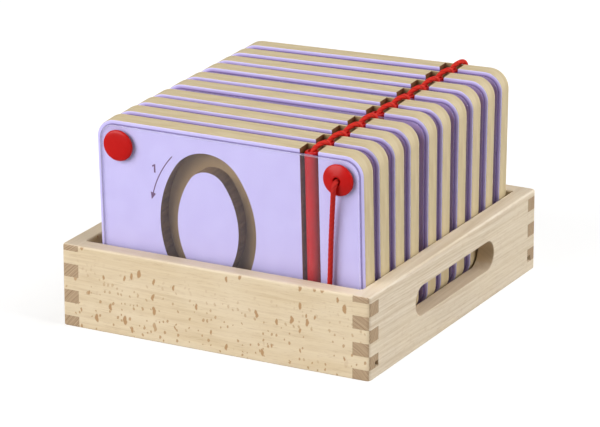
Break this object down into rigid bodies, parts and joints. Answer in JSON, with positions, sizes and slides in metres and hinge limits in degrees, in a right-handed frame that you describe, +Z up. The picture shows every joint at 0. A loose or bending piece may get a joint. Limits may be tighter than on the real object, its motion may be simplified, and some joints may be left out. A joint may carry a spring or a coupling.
{
  "type": "magnetic numeral board set",
  "caption": "Wooden tray of magnetic drawing boards: each has a clear cover over a numeral groove, a steel ball, and a magnet pen on a cord that stands in its own slot.",
  "frame": {"origin": "centre of the tray's underside", "axes": "+Z up, -Y towards the front of the tray that the boards face, +X to the right seen from there"},
  "size_m": [0.2214, 0.2416, 0.1437],
  "materials": {
    "beech": "oiled satin",
    "plywood": "satin",
    "painted_wood": "satin, the front face painted lavender",
    "clear_cover": "clear, polished",
    "red_plastic": "gloss",
    "red_cord": "satin",
    "steel": "polished",
    "magnet": "plated"
  },
  "bodies": {
    "tray": {"tray_front_wall": "beech", "tray_back_wall": "beech", "tray_left_wall": "beech", "tray_right_wall": "beech", "tray_base_panel": "plywood"},
    "board_0": {"board_0_core": "painted_wood", "board_0_island": "painted_wood", "board_0_back_panel": "plywood", "board_0_cover": "clear_cover", "board_0_plain_button": "red_plastic", "board_0_cord_button": "red_plastic", "board_0_cord": "red_cord"},
    "pen_0": {"board_0_pen_barrel": "red_plastic", "board_0_pen_magnet": "magnet"},
    "ball_0": {"board_0_ball": "steel"},
    "board_1": {"board_1_body": "painted_wood", "board_1_cover": "clear_cover", "board_1_tether": "red_cord"},
    "pen_1": {"board_1_pen": "red_plastic"},
    "ball_1": {"board_1_ball": "steel"},
    "board_2": {"board_2_body": "painted_wood", "board_2_cover": "clear_cover", "board_2_tether": "red_cord"},
    "pen_2": {"board_2_pen": "red_plastic"},
    "ball_2": {"board_2_ball": "steel"},
    "board_3": {"board_3_body": "painted_wood", "board_3_cover": "clear_cover", "board_3_tether": "red_cord"},
    "pen_3": {"board_3_pen": "red_plastic"},
    "ball_3": {"board_3_ball": "steel"},
    "board_4": {"board_4_body": "painted_wood", "board_4_cover": "clear_cover", "board_4_tether": "red_cord"},
    "pen_4": {"board_4_pen": "red_plastic"},
    "ball_4": {"board_4_ball": "steel"},
    "board_5": {"board_5_body": "painted_wood", "board_5_cover": "clear_cover", "board_5_tether": "red_cord"},
    "pen_5": {"board_5_pen": "red_plastic"},
    "ball_5": {"board_5_ball": "steel"},
    "board_6": {"board_6_body": "painted_wood", "board_6_cover": "clear_cover", "board_6_tether": "red_cord"},
    "pen_6": {"board_6_pen": "red_plastic"},
    "ball_6": {"board_6_ball": "steel"},
    "board_7": {"board_7_body": "painted_wood", "board_7_cover": "clear_cover", "board_7_tether": "red_cord"},
    "pen_7": {"board_7_pen": "red_plastic"},
    "ball_7": {"board_7_ball": "steel"},
    "board_8": {"board_8_body": "painted_wood", "board_8_cover": "clear_cover", "board_8_tether": "red_cord"},
    "pen_8": {"board_8_pen": "red_plastic"},
    "ball_8": {"board_8_ball": "steel"},
    "board_9": {"board_9_body": "painted_wood", "board_9_cover": "clear_cover", "board_9_tether": "red_cord"},
    "pen_9": {"board_9_pen": "red_plastic"},
    "ball_9": {"board_9_ball": "steel"}
  },
  "joints": [
    {"name": "board_0_lift", "type": "slide", "parent": "tray", "child": "board_0", "axis": [0.0008, -0.0454, 0.999], "range_m": [0, 0.135]},
    {"name": "pen_0_pull", "type": "slide", "parent": "board_0", "child": "pen_0", "axis": [0.0008, -0.0454, 0.999], "range_m": [0, 0.12], "deforming": ["board_0_cord"]},
    {"name": "ball_0_roll", "type": "hinge", "parent": "board_0", "child": "ball_0", "pos_m": [-0.01245, -0.09822, 0.05379], "axis": [0.0174, -0.9988, -0.0454], "range_deg": [-50, 50]},
    {"name": "board_1_lift", "type": "slide", "parent": "tray", "child": "board_1", "axis": [0.0005, -0.0314, 0.9995], "range_m": [0, 0.135]},
    {"name": "pen_1_pull", "type": "slide", "parent": "board_1", "child": "pen_1", "axis": [0.0005, -0.0314, 0.9995], "range_m": [0, 0.12], "deforming": ["board_1_tether"]},
    {"name": "ball_1_roll", "type": "slide", "parent": "board_1", "child": "ball_1", "axis": [0.0005, -0.0314, 0.9995], "range_m": [0, 0.087]},
    {"name": "board_2_lift", "type": "slide", "parent": "tray", "child": "board_2", "axis": [0.0004, -0.0209, 0.9998], "range_m": [0, 0.135]},
    {"name": "pen_2_pull", "type": "slide", "parent": "board_2", "child": "pen_2", "axis": [0.0004, -0.0209, 0.9998], "range_m": [0, 0.12], "deforming": ["board_2_tether"]},
    {"name": "ball_2_roll", "type": "slide", "parent": "board_2", "child": "ball_2", "axis": [-0.9998, -0.0209, 0], "range_m": [0, 0.0504]},
    {"name": "board_3_lift", "type": "slide", "parent": "tray", "child": "board_3", "axis": [0.0003, -0.0087, 1], "range_m": [0, 0.135]},
    {"name": "pen_3_pull", "type": "slide", "parent": "board_3", "child": "pen_3", "axis": [0.0003, -0.0087, 1], "range_m": [0, 0.12], "deforming": ["board_3_tether"]},
    {"name": "ball_3_roll", "type": "hinge", "parent": "board_3", "child": "ball_3", "pos_m": [-0.01454, -0.03816, 0.05534], "axis": [0.0314, -0.9995, -0.0087], "range_deg": [-60, 170]},
    {"name": "board_4_lift", "type": "slide", "parent": "tray", "child": "board_4", "axis": [0, 0, 1], "range_m": [0, 0.135]},
    {"name": "pen_4_pull", "type": "slide", "parent": "board_4", "child": "pen_4", "axis": [0, 0, 1], "range_m": [0, 0.12], "deforming": ["board_4_tether"]},
    {"name": "ball_4_roll", "type": "slide", "parent": "board_4", "child": "ball_4", "axis": [0, 0, 1], "range_m": [0, 0.087]},
    {"name": "board_5_lift", "type": "slide", "parent": "tray", "child": "board_5", "axis": [-0.0003, 0.007, 1], "range_m": [0, 0.135]},
    {"name": "pen_5_pull", "type": "slide", "parent": "board_5", "child": "pen_5", "axis": [-0.0003, 0.007, 1], "range_m": [0, 0.12], "deforming": ["board_5_tether"]},
    {"name": "ball_5_roll", "type": "hinge", "parent": "board_5", "child": "ball_5", "pos_m": [-0.01464, 0.00497, 0.05886], "axis": [0.0471, -0.9989, 0.007], "range_deg": [-54, 220]},
    {"name": "board_6_lift", "type": "slide", "parent": "tray", "child": "board_6", "axis": [-0.0007, 0.0139, 0.9999], "range_m": [0, 0.135]},
    {"name": "pen_6_pull", "type": "slide", "parent": "board_6", "child": "pen_6", "axis": [-0.0007, 0.0139, 0.9999], "range_m": [0, 0.12], "deforming": ["board_6_tether"]},
    {"name": "ball_6_roll", "type": "hinge", "parent": "board_6", "child": "ball_6", "pos_m": [-0.01268, 0.02763, 0.05791], "axis": [0.0506, -0.9986, 0.014], "continuous": true},
    {"name": "board_7_lift", "type": "slide", "parent": "tray", "child": "board_7", "axis": [-0.0014, 0.0209, 0.9998], "range_m": [0, 0.135]},
    {"name": "pen_7_pull", "type": "slide", "parent": "board_7", "child": "pen_7", "axis": [-0.0014, 0.0209, 0.9998], "range_m": [0, 0.12], "deforming": ["board_7_tether"]},
    {"name": "ball_7_roll", "type": "slide", "parent": "board_7", "child": "ball_7", "axis": [0.3431, 0.0425, 0.9383], "range_m": [0, 0.0926]},
    {"name": "board_8_lift", "type": "slide", "parent": "tray", "child": "board_8", "axis": [-0.0026, 0.0313, 0.9995], "range_m": [0, 0.135]},
    {"name": "pen_8_pull", "type": "slide", "parent": "board_8", "child": "pen_8", "axis": [-0.0026, 0.0313, 0.9995], "range_m": [0, 0.12], "deforming": ["board_8_tether"]},
    {"name": "ball_8_roll", "type": "hinge", "parent": "board_8", "child": "ball_8", "pos_m": [-0.0129, 0.06673, 0.05604], "axis": [0.0836, -0.996, 0.0314], "continuous": true},
    {"name": "board_9_lift", "type": "slide", "parent": "tray", "child": "board_9", "axis": [-0.0036, 0.0382, 0.9993], "range_m": [0, 0.135]},
    {"name": "pen_9_pull", "type": "slide", "parent": "board_9", "child": "pen_9", "axis": [-0.0036, 0.0382, 0.9993], "range_m": [0, 0.12], "deforming": ["board_9_tether"]},
    {"name": "ball_9_roll", "type": "slide", "parent": "board_9", "child": "ball_9", "axis": [-0.0036, 0.0382, 0.9993], "range_m": [0, 0.062]}
  ]
}
